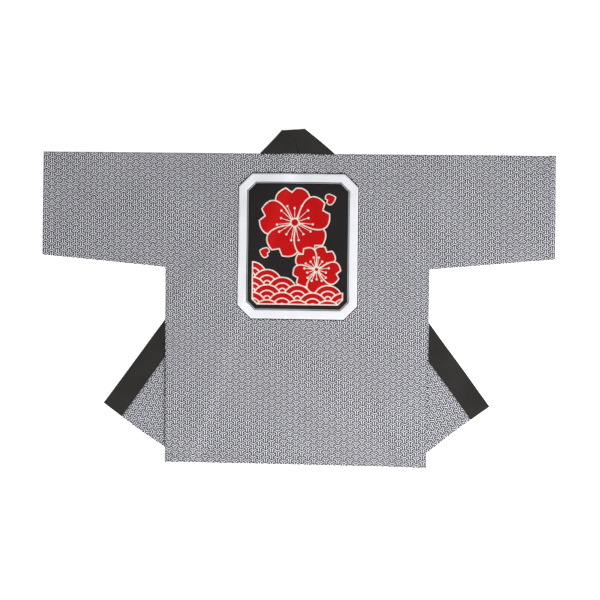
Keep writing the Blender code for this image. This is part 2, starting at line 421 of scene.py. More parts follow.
def edge_slices(edge, thickness):
    """Where the cloth beside an edge is split: at its seam's dip, or its rounding and row of stitches."""
    if edge.finish == "seam":
        return [SEAM_DIP_WIDTH * share for share in (0.25, 0.5, 1.0)]
    places = [share * thickness / 2 for share in EDGE_STEPS]
    if edge.finish == "hem":
        places += [STITCH_ROW - STITCH_DIP_WIDTH, STITCH_ROW, STITCH_ROW + STITCH_DIP_WIDTH]
        places += [HEM_WIDTH, HEM_WIDTH + HEM_STEP]
    return places


def skin_depths(cut, point):
    """How far the outer and inner skins lie from the middle of the cloth."""
    outer = inner = radius = cut.thickness / 2
    for edge in cut.edges:
        distance = distance_to(edge, point)
        if distance > 2 * HEM_WIDTH:
            continue
        if edge.finish == "hem":
            outer += HEM_RISE * ramp(distance, HEM_WIDTH + HEM_STEP, HEM_WIDTH)
            outer -= STITCH_DIP * ramp(abs(distance - STITCH_ROW), STITCH_DIP_WIDTH, 0)
        if edge.finish == "seam":
            outer -= SEAM_DIP * ramp(distance, SEAM_DIP_WIDTH, 0)
        elif distance < radius:
            share = math.sqrt(max(1 - (1 - distance / radius) ** 2, EDGE_LEAST))
            outer *= share
            inner *= share
    return outer, inner


def film_depths(cut, point):
    """The same for the pigment's film, which stands a little above the cloth and reaches into it."""
    outer = skin_depths(cut, point)[0]
    return outer + PRINT_RISE, PRINT_DEPTH - outer


def right_half(place):
    """The point of the flat cut's right half that a place is the same as, or mirrors."""
    return Vector((abs(place.x), place.y))


def laid(cut, place, side, depth):
    """Where a place on the flat cut comes to lie, this far up from the middle of the cloth.

    The coat's right side is side 1, its left -1.
    """
    mirror = -1 if place.x < -MIDDLE_SNAP else 1
    spot = cut.lay(right_half(place))
    whole = Vector((*spot.ground, spot.height)) + depth * spot.normal
    return uneven(Vector((side * mirror * whole.x, whole.y, whole.z)))


def thicken(bm, cut, side, depths=skin_depths, materials=1):
    """Gives the flat cut its two skins and lays them in place.

    depths says how far each skin lies from the middle. The skin that is the cloth's face has material
    0, and the other skin material 1, if there is one. The map holds the flat cut in metres.
    """
    lower = bm.verts[:]
    made = bmesh.ops.extrude_face_region(bm, geom=bm.faces[:])
    upper = [item for item in made["geom"] if isinstance(item, bmesh.types.BMVert)]
    flat = {vert: vert.co.xy for vert in bm.verts}
    inside = set(lower if cut.outer_up else upper)
    for skin, way in ((lower, -1), (upper, 1)):
        which = 0 if cut.outer_up == (way > 0) else 1
        for vert in skin:
            depth = way * depths(cut, right_half(vert.co))[which]
            vert.co = laid(cut, vert.co, side, depth)
    cloth_map = bm.loops.layers.uv.new("Cloth")
    for face in bm.faces:
        face.material_index = materials - 1 if all(vert in inside for vert in face.verts) else 0
        face.smooth = True
        for loop in face.loops:
            loop[cloth_map].uv = (side * flat[loop.vert].x, flat[loop.vert].y)
    bmesh.ops.recalc_face_normals(bm, faces=bm.faces[:])


def make_object(name, bm, materials):
    mesh = bpy.data.meshes.new(name)
    bm.to_mesh(mesh)
    bm.free()
    for material in materials:
        mesh.materials.append(bpy.data.materials[material])
    piece = bpy.data.objects.new(name, mesh)
    bpy.context.scene.collection.objects.link(piece)
    return piece


def dress(piece, slot, *nodes):
    """The piece moves with the coat's one body and stands for these solids, which are hidden. The slot is
    not used.
    """
    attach(piece, "root")
    if nodes:
        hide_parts(*nodes)


# Flat cuts of the pieces. Each has its outline and finished edges, the lines where it is folded right
# over or only rolled, the line that its row of stitches follows, and how it is laid. A whole cut is
# completed by its mirror image.

Cut = namedtuple(
    "Cut",
    "outline edges folds rolls row lay thickness outer_up whole grid row_step",
    defaults=(CLOTH, False, False, GRID, ROW_STEP),
)
HEM_ROW = BODY_LENGTH - STITCH_ROW


def side_outline(neck_end):
    """The shoulder, armhole and side edges that front and back share, from the neck to the hem."""
    edge = QUARTER_TURN * SIDE_SEAM.out
    underarm = at(CHEST_HALF, ARMHOLE_DROP + UNDERARM_RELIEF)
    hem = at(HEM_HALF, BODY_LENGTH)
    return [
        at(neck_end, 0),
        at(NECK_HALF + NECK_RELIEF, 0),
        at(NECK_HALF + NECK_RELIEF, -QUARTER_TURN),
        at(CHEST_HALF, -QUARTER_TURN),
        underarm,
        underarm + edge,
        hem + edge,
        hem,
    ]


def body_edges(hem_start):
    hem_end = at(HEM_HALF, BODY_LENGTH) + QUARTER_TURN * SIDE_SEAM.out
    armhole = Edge(at(CHEST_HALF, -QUARTER_TURN), at(CHEST_HALF, ARMHOLE_DROP), "seam")
    return [Edge(hem_start, hem_end, "hem"), armhole]


def back_cut():
    """Half of the back, which its mirror image completes."""
    return Cut(
        outline=[*side_outline(0), at(0, BODY_LENGTH)],
        edges=[*body_edges(at(0, BODY_LENGTH)), Edge(at(0, 0), at(NECK_HALF, 0), "seam")],
        folds=[],
        rolls=[SHOULDER_SEAM, SIDE_SEAM],
        row=[at(-HEM_HALF, HEM_ROW), at(HEM_HALF, HEM_ROW)],
        lay=lay_back,
        outer_up=True,
        whole=True,
        grid=BACK_GRID,
        row_step=BACK_ROW_STEP,
    )


def front_cut():
    seam = FRONT_SEAM + SEAM_GAP
    seam_edge = [at(NECK_HALF + NECK_EASE, 0), at(seam, NECK_DROP), at(seam, BODY_LENGTH)]
    return Cut(
        outline=[*side_outline(NECK_HALF + NECK_EASE), *reversed(seam_edge[1:])],
        edges=[*body_edges(seam_edge[-1]), *edge_chain(seam_edge, "seam")],
        folds=[FRONT_TURN],
        rolls=[SHOULDER_SEAM, SIDE_SEAM],
        row=[at(FRONT_SEAM + MM, HEM_ROW), at(HEM_HALF, HEM_ROW)],
        lay=lay_front,
    )


def sleeve_cut():
    """Front half and back half in one, joined at the shoulder line."""
    share = SEAM_GAP / (CUFF_REACH - CHEST_HALF)
    under_start = at(CHEST_HALF + SEAM_GAP, ARMHOLE_DROP + (CUFF_DROP - ARMHOLE_DROP) * share)
    roll = QUARTER_TURN * UNDERARM_SEAM.out
    front_half = [under_start + roll, at(CUFF_REACH, CUFF_DROP) + roll]
    back_half = [landed(SHOULDER_SEAM, point) for point in reversed(front_half)]
    cuff = Edge(front_half[1], back_half[0], "hem")
    return Cut(
        outline=[*front_half, *back_half],
        edges=[cuff, Edge(front_half[0], back_half[1], "seam")],
        folds=[SHOULDER_SEAM],
        rolls=[UNDERARM_SEAM, unfolded(SHOULDER_SEAM, UNDERARM_SEAM)],
        row=[Vector((CUFF_REACH - STITCH_ROW, end.y)) for end in (cuff.start, cuff.end)],
        lay=lay_sleeve,
    )


def collar_cut():
    """Half of the band, which runs up the front and turns over at the neck to centre back."""
    neck = COLLAR_TURN.start
    centre_back = [at(0, -COLLAR_RISE), at(0, -SEAM_GAP)]
    behind = [landed(COLLAR_TURN, point) for point in (COLLAR_TOP, *centre_back, neck)]
    seam_edge = [neck, at(FRONT_SEAM, NECK_DROP), at(FRONT_SEAM, BODY_LENGTH)]
    aside = Vector((STITCH_INSET, 0))
    return Cut(
        outline=[*seam_edge, *reversed(COLLAR_EDGE), COLLAR_TOP, *behind],
        edges=[
            *edge_chain([seam_edge[-1], *reversed(COLLAR_EDGE)], "fold"),
            Edge(behind[0], behind[1], "fold"),
            Edge(behind[2], behind[3], "seam"),
            *edge_chain(seam_edge, "seam"),
        ],
        folds=[COLLAR_TURN, FRONT_TURN],
        rolls=[],
        row=[point - aside for point in reversed(seam_edge)],
        lay=lay_collar,
        thickness=BAND,
    )


def make_cloth(name, cut, side, materials):
    """A piece of cloth, split finely at its folds and at the rolls that meet at seams."""
    bm = bmesh.new()
    bm.faces.new([bm.verts.new((*point, 0)) for point in cut.outline])
    for line in cut.folds:
        slice_fold(bm, line)
    for line in cut.rolls:
        slice_fold(bm, line, ROLL_TURNS)
    slice_grid(bm, cut.grid)
    for edge in cut.edges:
        slice_beside(bm, edge, edge_slices(edge, cut.thickness))
    if cut.whole:
        halves = bm.verts[:] + bm.edges[:] + bm.faces[:]
        bmesh.ops.mirror(bm, geom=halves, axis="X", merge_dist=MIDDLE_SNAP)
    thicken(bm, cut, side, materials=len(materials))
    return make_object(name, bm, materials)


# Rows of stitches.


def node_group(name, kind, inputs, output):
    """A node group with these inputs and one output, and the sockets that give it the inputs' values."""
    tree = bpy.data.node_groups.new(name, kind)
    for in_out, sockets in (("INPUT", inputs), ("OUTPUT", output)):
        for label, socket in sockets.items():
            tree.interface.new_socket(label, in_out=in_out, socket_type="NodeSocket" + socket)
    return tree, tree.nodes.new("NodeGroupInput").outputs


def stitch_tree():
    """Nodes that set stitches of one thread, end to end with small gaps, along the edges of a mesh."""
    sizes = {"Pitch": "Float", "Stitch length": "Float", "Thread width": "Float"}
    inputs = {"Rows": "Geometry", **sizes, "Thread": "Material"}
    tree, given = node_group("stitch_rows", "GeometryNodeTree", inputs, {"Stitches": "Geometry"})
    curve = add(tree, "GeometryNodeMeshToCurve", given["Rows"])
    every = {"Curve": curve, "Length": given["Pitch"]}
    even = add(tree, "GeometryNodeResampleCurve", mode="LENGTH", named=every)
    spots = add(tree, "GeometryNodeCurveToPoints", even, mode="EVALUATED")
    along = {"Vector": spots.node.outputs["Tangent"]}
    turn = add(tree, "FunctionNodeAlignRotationToVector", axis="X", named=along)
    bead = add(tree, "GeometryNodeMeshIcoSphere", named={"Radius": 0.5, "Subdivisions": 1})
    round_bead = add(tree, "GeometryNodeSetShadeSmooth", bead)
    width = given["Thread width"]
    size = add(tree, "ShaderNodeCombineXYZ", given["Stitch length"], width, width)
    placed = {"Points": spots, "Instance": round_bead, "Rotation": turn, "Scale": size}
    stitches = add(tree, "GeometryNodeInstanceOnPoints", named=placed)
    whole = add(tree, "GeometryNodeRealizeInstances", stitches)
    done = add(tree, "GeometryNodeSetMaterial", named={"Geometry": whole, "Material": given["Thread"]})
    add(tree, "NodeGroupOutput", done)
    return tree


def make_stitches(name, cut, side, thread, sizes):
    """Stitches along the cut's row. The nodes' result becomes a plain mesh."""
    bm = bmesh.new()
    verts = [bm.verts.new(place) for place in row_places(cut, side)]
    for first, second in zip(verts, verts[1:]):
        bm.edges.new((first, second))
    piece = make_object(name, bm, [])
    tree = bpy.data.node_groups.get("stitch_rows") or stitch_tree()
    values = {
        "Pitch": sizes.stitch_pitch,
        "Stitch length": sizes.stitch_length,
        "Thread width": sizes.thread_width,
        "Thread": bpy.data.materials[thread],
    }
    modifier = piece.modifiers.new("stitches", "NODES")
    modifier.node_group = tree
    for item in tree.interface.items_tree:
        if item.in_out == "INPUT" and item.name in values:
            modifier[item.identifier] = values[item.name]
    graph = bpy.context.evaluated_depsgraph_get()
    piece.data = bpy.data.meshes.new_from_object(piece.evaluated_get(graph))
    piece.modifiers.clear()
    return piece


def row_places(cut, side, proud=0.00005):
    """Places along the cut's row, close enough together to follow its folds, just above the cloth."""
    flat = []
    for start, end in zip(cut.row, cut.row[1:]):
        count = max(round((end - start).length / cut.row_step), 1)
        flat += [start.lerp(end, place / count) for place in range(count)]
    way = 1 if cut.outer_up else -1
    for point in (*flat, cut.row[-1]):
        outer = skin_depths(cut, right_half(point))[0]
        yield laid(cut, point, side, way * (outer + proud))


# The print on the back. Its places are metres from the panel's centre.

Shape = namedtuple("Shape", "colour outline")
Motif = namedtuple("Motif", "x y size turn")  # turn is in degrees
PANEL_RIM = 0.0022  # black that shows round the white frame
GREY_LINE = (0.0011, 0.0036)  # from the white frame to the near and far side of the grey line
PETAL_HALF = ((0.05, 0), (0.30, -0.42), (0.80, -0.78), (1, -0.16))  # a curve's four points, foot to tip
PETAL_NOTCH = 0.87
STAMENS = 15
WAVE_RINGS = (1, 0.62, 0.27)  # shares of a wave's radius
# Each row of waves, in half radii above the panel's centre, and where it has them, in radii across.
WAVE_BANK = {-4: (-3,), -5: (-2,), -6: (-3, -1), -7: (-2, 0, 2), -8: (-3, -1, 1, 3), -9: (-2, 0, 2)}
BLOSSOMS = (Motif(-0.008, 0.058, 0.088, 96), Motif(0.046, -0.056, 0.060, 60))
LOOSE_PETALS = (Motif(0.094, 0.122, 0.030, 200), Motif(-0.096, -0.010, 0.028, -20))


def inset_frame(sizes, distance):
    """The panel's outline, a rectangle with cut corners, moved inwards by a distance."""
    corner = sizes.corner - (2 - math.sqrt(2)) * distance
    x, y = (sizes.width - 2 * distance) / 2, (sizes.height - 2 * distance) / 2
    quarter = [(x, y - corner), (x - corner, y)]
    upper = [*quarter, *((-a, b) for a, b in reversed(quarter))]
    return [Vector(point) for point in (*upper, *((-a, -b) for a, b in upper))]


def inset(outline, distance):
    """An outline moved inwards, for the colour inside an outline drawn round a shape."""
    moved = []
    for before, point, after in zip([outline[-1], *outline], outline, [*outline[1:], outline[0]]):
        first = (point - before).normalized().orthogonal()
        second = (after - point).normalized().orthogonal()
        moved.append(point + distance * (first + second) / max(1 + first.dot(second), 0.35))
    return moved


def divided(outline, step):
    """The outline with points added, so that none of its sides is longer than a step."""
    points = []
    for start, end in zip(outline, [*outline[1:], outline[0]]):
        count = math.ceil((end - start).length / step)
        points += [start.lerp(end, place / count) for place in range(count)]
    return points


def disc(centre, radius, count=40):
    angles = [2 * math.pi * step / count for step in range(count)]
    return [centre + radius * Vector((math.cos(angle), math.sin(angle))) for angle in angles]


def petal(foot, size, turn):
    """A broad petal with a notched tip, drawn anticlockwise from its foot."""
    lower = [point.xy for point in interpolate_bezier(*map(Vector, PETAL_HALF), 18)]
    upper = [Vector((point.x, -point.y)) for point in reversed(lower[1:])]
    rotation = Matrix.Rotation(turn, 2)
    return [foot + size * (rotation @ point) for point in (*lower, Vector((PETAL_NOTCH, 0)), *upper)]


def stroke(start, end, width):
    """A line that tapers to both ends."""
    across = (end - start).orthogonal().normalized() * width / 2
    middle = start.lerp(end, 0.5)
    one_side = [start - across / 2, middle - across, end - across / 2]
    return [*one_side, end + across / 2, middle + across, start + across / 2]


def outlined(outline, line):
    """A red shape inside a cream line."""
    return [Shape("cream", outline), Shape("red", inset(outline, line))]


def ring(centre, radius, line):
    """A red disc inside a cream line."""
    return [Shape("cream", disc(centre, radius)), Shape("red", disc(centre, radius - line))]


def blossom(centre, radius, turn, line):
    """A cherry blossom of five petals, with stamens of two lengths."""
    shapes = []
    for step in range(5):
        shapes += outlined(petal(centre, radius, turn + math.tau * step / 5), line)
    for step in range(STAMENS):
        way = Vector((1, 0))
        way.rotate(Matrix.Rotation(turn + math.tau * (step - 0.2) / STAMENS, 2))
        tip = centre + radius * (0.50 if step % 3 else 0.40) * way
        shapes.append(Shape("cream", stroke(centre, tip, 0.6 * line)))
        shapes.append(Shape("cream", disc(tip, 0.85 * line, 14)))
    return shapes + ring(centre, 0.13 * radius, line)


def panel_shapes(sizes):
    """Every printed shape of the panel, the later ones over the earlier.

    A shape without a colour isn't printed, but limits one: the second result gives, for a colour, the
    shape that it shows only inside of.
    """
    line, border = sizes.line, sizes.border
    insets = [
        ("", border + sizes.margin),
        ("", border + sizes.margin + line),
        ("black", -PANEL_RIM),
        ("white", 0),
        ("black", border),
        ("grey", border + GREY_LINE[0]),
        ("black", border + GREY_LINE[1]),
    ]
    shapes = [Shape(colour, inset_frame(sizes, distance)) for colour, distance in insets]
    for flower in BLOSSOMS:
        shapes += blossom(Vector(flower[:2]), flower.size, math.radians(flower.turn), line)
    for row, columns in WAVE_BANK.items():
        for column in columns:
            centre = Vector((2 * column, row)) * sizes.wave / 2
            for share in WAVE_RINGS:
                shapes += ring(centre, share * sizes.wave, line)
    for loose in LOOSE_PETALS:
        shapes += outlined(petal(Vector(loose[:2]), loose.size, math.radians(loose.turn)), 0.8 * line)
    return shapes, {"cream": 0, "red": 1}


def tiled(sizes, shapes):
    """The panel in small triangles: their points, their corners, and the shapes that cover each."""
    points, outlines = [], []
    for shape in shapes:
        outline = divided(shape.outline, PANEL_GRID)
        outlines.append(list(range(len(points), len(points) + len(outline))))
        points += [point / MM for point in outline]
    size = Vector((sizes.width, sizes.height))
    columns, rows = (round(side / PANEL_GRID) for side in size)
    for column in range(columns + 1):
        for row in range(rows + 1):
            points.append(Vector((column / columns - 0.5, row / rows - 0.5)) * size / MM)
    inside_only, snap = 1, 1e-4
    made = delaunay_2d_cdt(points, [], outlines, inside_only, snap, True)
    all_points, _, triangles, _, _, covered_by = made
    return all_points, triangles, covered_by


def make_panel(sizes, colours):
    """One piece for each colour: the parts of the panel where that colour is on top."""
    shapes, limits = panel_shapes(sizes)
    points, triangles, covered_by = tiled(sizes, shapes)
    centre = at(0, sizes.top + sizes.height / 2)
    for colour in colours:
        bm = bmesh.new()
        verts = {}
        for triangle, covers in zip(triangles, covered_by):
            printed = [face for face in covers if limits.get(shapes[face].colour, face) in covers]
            if not printed or shapes[max(printed)].colour != colour:
                continue
            for corner in triangle:
                if corner not in verts:
                    verts[corner] = bm.verts.new((*(centre + points[corner] * MM), 0))
            bm.faces.new([verts[corner] for corner in triangle])
        bmesh.ops.dissolve_degenerate(bm, dist=PRINT_SLIVER, edges=bm.edges[:])
        thicken(bm, back_cut(), 1, film_depths)
        yield make_object("panel_" + colour, bm, ["pigment_" + colour])


# Finishes. The patterns on the cloth are set out in metres, on the map that holds the flat cut.
#
# The print's linked Y shapes are drawn with bars, whose sizes are in arm lengths. A trunk is a middle
# bar with an outline bar on either side. The trunks stand in columns.

COLUMN_SPACING = 1.5 * math.sqrt(3)
TRUNK_SPACING = 3  # down a column, which is half of this higher than the last one
TRUNK_MIDDLE = 1.87
MIDDLE_BAR_HALF = 1.11  # half lengths
OUTLINE_BAR_HALF = 0.62
OUTLINE_ASIDE = 0.73  # from the middle bar to an outline bar
INK_SOFTNESS = 0.06  # half the blur of the print's edges
INK_WAVER = 0.09 * MM  # how far they stray from thread to thread
PRINT_INPUTS = {"Point": "Vector", "Middle line": "Float", "Outline": "Float"}


def bar_family():
    """Group: how far a point lies outside one of the print's three sets of bars, in arm lengths."""
    output = {"Distance": "Float"}
    tree, given = node_group("print_bars", "ShaderNodeTree", PRINT_INPUTS, output)
    across, along = add(tree, "ShaderNodeSeparateXYZ", given["Point"]).node.outputs[:2]
    columns = add(tree, "ShaderNodeMath", across, COLUMN_SPACING, operation="DIVIDE")
    column = add(tree, "ShaderNodeMath", columns, operation="ROUND")
    centre = add(tree, "ShaderNodeMath", column, COLUMN_SPACING, operation="MULTIPLY")
    beside = add(tree, "ShaderNodeMath", across, centre, operation="SUBTRACT")
    beside = add(tree, "ShaderNodeMath", beside, operation="ABSOLUTE")
    odd = add(tree, "ShaderNodeMath", column, 2, operation="FLOORED_MODULO")
    level = add(tree, "ShaderNodeMath", odd, -TRUNK_SPACING / 2, along, operation="MULTIPLY_ADD")
    level = add(tree, "ShaderNodeMath", level, TRUNK_SPACING, operation="FLOORED_MODULO")
    level = add(tree, "ShaderNodeMath", level, TRUNK_MIDDLE, operation="SUBTRACT")
    level = add(tree, "ShaderNodeMath", level, operation="ABSOLUTE")
    aside = add(tree, "ShaderNodeMath", beside, OUTLINE_ASIDE, operation="SUBTRACT")
    aside = add(tree, "ShaderNodeMath", aside, operation="ABSOLUTE")
    bars = []
    for way_off, line, half in (
        (beside, "Middle line", MIDDLE_BAR_HALF),
        (aside, "Outline", OUTLINE_BAR_HALF),
    ):
        beyond_end = add(tree, "ShaderNodeMath", level, half, operation="SUBTRACT")
        beyond_side = add(tree, "ShaderNodeMath", given[line], -0.5, way_off, operation="MULTIPLY_ADD")
        bars.append(add(tree, "ShaderNodeMath", beyond_end, beyond_side, operation="MAXIMUM"))
    nearest = add(tree, "ShaderNodeMath", *bars, operation="MINIMUM")
    add(tree, "NodeGroupOutput", nearest)
    return tree


def linked_print():
    """Group: linked Y shapes in a lattice of hexagons, from three sets of bars a third of a turn apart."""
    tree, given = node_group("linked_print", "ShaderNodeTree", PRINT_INPUTS, {"Ink": "Float"})
    bars = bar_family()
    nearest = None
    for step in range(3):
        angle = {"Angle": math.tau * step / 3}
        turned_point = add(
            tree, "ShaderNodeVectorRotate", given["Point"], rotation_type="Z_AXIS", named=angle
        )
        bar_inputs = {**{name: given[name] for name in PRINT_INPUTS}, "Point": turned_point}
        distance = add(tree, "ShaderNodeGroup", node_tree=bars, named=bar_inputs)
        if nearest:
            distance = add(tree, "ShaderNodeMath", nearest, distance, operation="MINIMUM")
        nearest = distance
    ink = add(tree, "ShaderNodeMapRange", nearest, -INK_SOFTNESS, INK_SOFTNESS, 1, 0)
    add(tree, "NodeGroupOutput", ink)
    return tree


THREAD_SPACING = 0.6 * MM  # about 42 threads to the inch, as in coarse festival cotton
SLUB_SHARE = 0.12  # how much paler or darker a thick or thin thread is
SLUB_GRAIN = (0.22 / MM, 0.75 / MM, 1)  # of the noise that makes them, along and across a thread
RIB_SPACING = 0.8 * MM  # of the collar's drill
WAVE_REPEAT = math.pi / 10  # a wave texture of scale 1 repeats after this
# Cotton hardly mirrors light, because its fibres lie every way, and they glow a little at the edges.
COTTON_GLOSS = {"Specular_IOR_Level": 0.2, "Sheen_Weight": 0.05, "Sheen_Roughness": 0.5}

# A layer of uneven brightness: how fine its noise is, how far from the noise's middle it is at its
# darkest and lightest, and how bright it is there.
Mottle = namedtuple("Mottle", "scale detail spread dark light")


def mottled(tree, place, *layers, value=None):
    """Brightness that varies with each layer's noise, times a value. Also gives the last noise."""
    for scale, detail, spread, dark, light in layers:
        grain = {"Vector": place, "Scale": scale, "Detail": detail}
        noises = add(tree, "ShaderNodeTexNoise", named=grain)
        part = add(tree, "ShaderNodeMapRange", noises, 0.5 - spread, 0.5 + spread, dark, light)
        value = add(tree, "ShaderNodeMath", value, part, operation="MULTIPLY") if value else part
    return value, noises


def weave_height(tree, place):
    """Height of a plain weave, whose threads pass over and under each other, from -1 to 1."""
    scale = {"Scale": math.pi / THREAD_SPACING}
    turns = add(tree, "ShaderNodeVectorMath", place, operation="SCALE", named=scale)
    across, along = add(tree, "ShaderNodeSeparateXYZ", turns).node.outputs[:2]
    warp = add(tree, "ShaderNodeMath", across, operation="SINE")
    weft = add(tree, "ShaderNodeMath", along, operation="SINE")
    return add(tree, "ShaderNodeMath", warp, weft, operation="MULTIPLY")


def new_finish(name):
    """The empty node tree of a new material."""
    material = bpy.data.materials.new(name)
    material.use_nodes = True
    material.node_tree.nodes.clear()
    return material.node_tree


def set_shader(tree, colour, height, depth, **settings):
    """Ends a finish with this colour, a relief whose height of 1 is this deep, and the settings."""
    relief = {"Height": height, "Distance": depth, "Strength": 1.0}
    inputs = {name.replace("_", " "): setting for name, setting in settings.items()}
    inputs |= {"Base Color": colour, "Normal": add(tree, "ShaderNodeBump", named=relief)}
    add(tree, "ShaderNodeOutputMaterial", add(tree, "ShaderNodeBsdfPrincipled", named=inputs))


def printed_cotton(name, cloth, ink):
    """Plain-weave cotton, printed with a linked-Y pattern.

    The ink lies in the threads, so the edges of the lines waver by a tenth of a millimetre. The dye
    is a little uneven, and here and there a thicker or thinner few threads show as a paler or darker
    fleck, a few millimetres long. A real arm is about 5 mm long. It is drawn a tenth longer, and its
    lines heavier and softer, because the pattern would otherwise be too fine to show.
    """
    tree = new_finish(name)
    place = add(tree, "ShaderNodeUVMap", uv_map="Cloth")
    threads = {"Vector": place, "Scale": 0.9 / MM, "Detail": 1.0}
    waver = add(tree, "ShaderNodeTexNoise", named=threads)
    waver = add(tree, "ShaderNodeMapRange", waver, 0, 1, -INK_WAVER, INK_WAVER, clamp=False)
    bled = add(tree, "ShaderNodeVectorMath", place, waver, operation="ADD")
    steps = (1 / cloth.pattern_width, 1 / cloth.pattern_step, 1)
    point = add(tree, "ShaderNodeVectorMath", bled, steps, operation="MULTIPLY")
    lattice = {"Point": point, "Middle line": cloth.middle_line, "Outline": cloth.outline}
    print_tree = bpy.data.node_groups.get("linked_print") or linked_print()
    mask = add(tree, "ShaderNodeGroup", node_tree=print_tree, named=lattice)
    colour = add(tree, "ShaderNodeMix", mask, tuple(cloth.ground), ink, data_type="RGBA")

    dye = Mottle(9.0, 3.0, 0.25, 0.955, 1.045)
    fibre = Mottle(1.4 / MM, 2.0, 0.25, 0.94, 1.06)
    slub = Mottle(1.0, 1.0, 0.25, 1 - SLUB_SHARE, 1 + SLUB_SHARE)
    value, fibres = mottled(tree, place, dye, fibre)
    for angle in (0, math.pi / 2):
        turn = {"Vector": place, "Angle": angle}
        thread = add(tree, "ShaderNodeVectorRotate", rotation_type="Z_AXIS", named=turn)
        long = add(tree, "ShaderNodeVectorMath", thread, SLUB_GRAIN, operation="MULTIPLY")
        value = mottled(tree, long, slub, value=value)[0]
    colour = add(tree, "ShaderNodeHueSaturation", named={"Color": colour, "Value": value})

    tints = add(tree, "ShaderNodeTexNoise", named={"Vector": place, "Scale": 70.0, "Detail": 1.0})
    tint = tints.node.outputs["Color"]
    colour = add(tree, "ShaderNodeMix", 0.2, colour, tint, data_type="RGBA", blend_type="SOFT_LIGHT")

    fluff = add(tree, "ShaderNodeMath", fibres, 0.8, weave_height(tree, place), operation="MULTIPLY_ADD")
    set_shader(tree, colour, fluff, 0.015 * MM, Roughness=0.86, **COTTON_GLOSS)


def collar_cotton(name, colour):
    """Black cotton drill: fine diagonal ribs, and dust and wear that grey it unevenly."""
    tree = new_finish(name)
    place = add(tree, "ShaderNodeUVMap", uv_map="Cloth")
    turn = {"Vector": place, "Angle": math.radians(63)}
    slanted = add(tree, "ShaderNodeVectorRotate", rotation_type="Z_AXIS", named=turn)
    ribs = {"Scale": WAVE_REPEAT / RIB_SPACING, "Distortion": 0.6, "Detail": 1.0}
    drill = add(tree, "ShaderNodeTexWave", slanted, named=ribs)
    wear, lint = Mottle(14.0, 4.0, 0.2, 0.84, 1.18), Mottle(0.9 / MM, 2.0, 0.2, 0.75, 1.25)
    value, fibres = mottled(tree, place, wear, lint)
    tone = add(tree, "ShaderNodeHueSaturation", named={"Color": colour, "Value": value})
    height = add(tree, "ShaderNodeMath", fibres, 0.5, drill, operation="MULTIPLY_ADD")
    set_shader(tree, tone, height, 0.10 * MM, Roughness=0.9, **COTTON_GLOSS)


def pigment(name, colour):
    """Opaque screen-printed pigment, a soft rubbery film that fills the weave without hiding it."""
    tree = new_finish(name)
    place = add(tree, "ShaderNodeUVMap", uv_map="Cloth")
    cover, speck = Mottle(22.0, 3.0, 0.2, 0.97, 1.03), Mottle(0.7 / MM, 2.0, 0.2, 0.95, 1.05)
    value, grain = mottled(tree, place, cover, speck)
    tone = add(tree, "ShaderNodeHueSaturation", named={"Color": colour, "Value": value})
    height = add(tree, "ShaderNodeMath", grain, 0.6, weave_height(tree, place), operation="MULTIPLY_ADD")
    set_shader(tree, tone, height, 0.03 * MM, Roughness=0.62, Specular_IOR_Level=0.15)


def sewing_thread(name, colour):
    """Spun thread, whose twist is a fine unevenness in its tone and surface."""
    tree = new_finish(name)
    spot = add(tree, "ShaderNodeTexCoord").node.outputs["Object"]
    light, twist = mottled(tree, spot, Mottle(3.0 / MM, 1.0, 0.2, 0.8, 1.2))
    tone = add(tree, "ShaderNodeHueSaturation", named={"Color": colour, "Value": light})
    set_shader(tree, tone, twist, 0.05 * MM, Roughness=0.7, Sheen_Weight=0.2)


def floor_paper(name):
    """The matt white paper of a light table, with a faint tooth. Its glow keeps shadows faint."""
    tree = new_finish(name)
    spot = add(tree, "ShaderNodeTexCoord").node.outputs["Object"]
    light, tooth = mottled(tree, spot, Mottle(0.5 / MM, 2.0, 0.5, 0.99, 1.0))
    tone = add(tree, "ShaderNodeHueSaturation", named={"Color": linear("#F8F8F8"), "Value": light})
    glow = {"Emission_Color": (1, 1, 1, 1), "Emission_Strength": FLOOR_GLOW}
    set_shader(tree, tone, tooth, 0.02 * MM, Roughness=0.95, Specular_IOR_Level=0.1, **glow)


# The sizes and colours that a user would change.


def length_setting(name, description, default):
    return bpy.props.FloatProperty(
        name=name, description=description, default=default, min=0.1 * MM, precision=5, unit="LENGTH"
    )


def share_setting(name, description, default):
    return bpy.props.FloatProperty(
        name=name, description=description, default=default, min=0.1, max=0.6, subtype="FACTOR"
    )


def colour_setting(name, description, hex_colour):
    start = linear(hex_colour)
    return bpy.props.FloatVectorProperty(
        name=name, description=description, default=start, size=4, min=0, max=1, subtype="COLOR"
    )


class HappiCloth(bpy.types.PropertyGroup):
    """The printed cotton, the collar band and the sewing"""

    pattern_step: length_setting("Pattern Arm", "Length of one arm of each Y, down the coat", 5.4 * MM)
    pattern_width: length_setting("Pattern Arm Across", "The same across the coat", 5.68 * MM)
    middle_line: share_setting("Middle Line", "Width of the line in each Y, as a share of the arm", 0.44)
    outline: share_setting("Outline", "Width of the line round each Y, as a share of the arm", 0.38)
    ground: colour_setting("Ground", "Colour of the cotton between the printed lines", "#EFF0F8")
    ink: colour_setting("Ink", "Colour of the printed lines", "#0C0B0E")
    collar: colour_setting("Collar", "Colour of the collar band", "#2E2D2B")
    stitch_pitch: length_setting("Stitch Pitch", "Distance from one stitch to the next", 3.4 * MM)
    stitch_length: length_setting("Stitch Length", "Length of thread that shows in each stitch", 2.7 * MM)
    thread_width: length_setting("Thread Width", "Thickness of the sewing thread", 0.45 * MM)


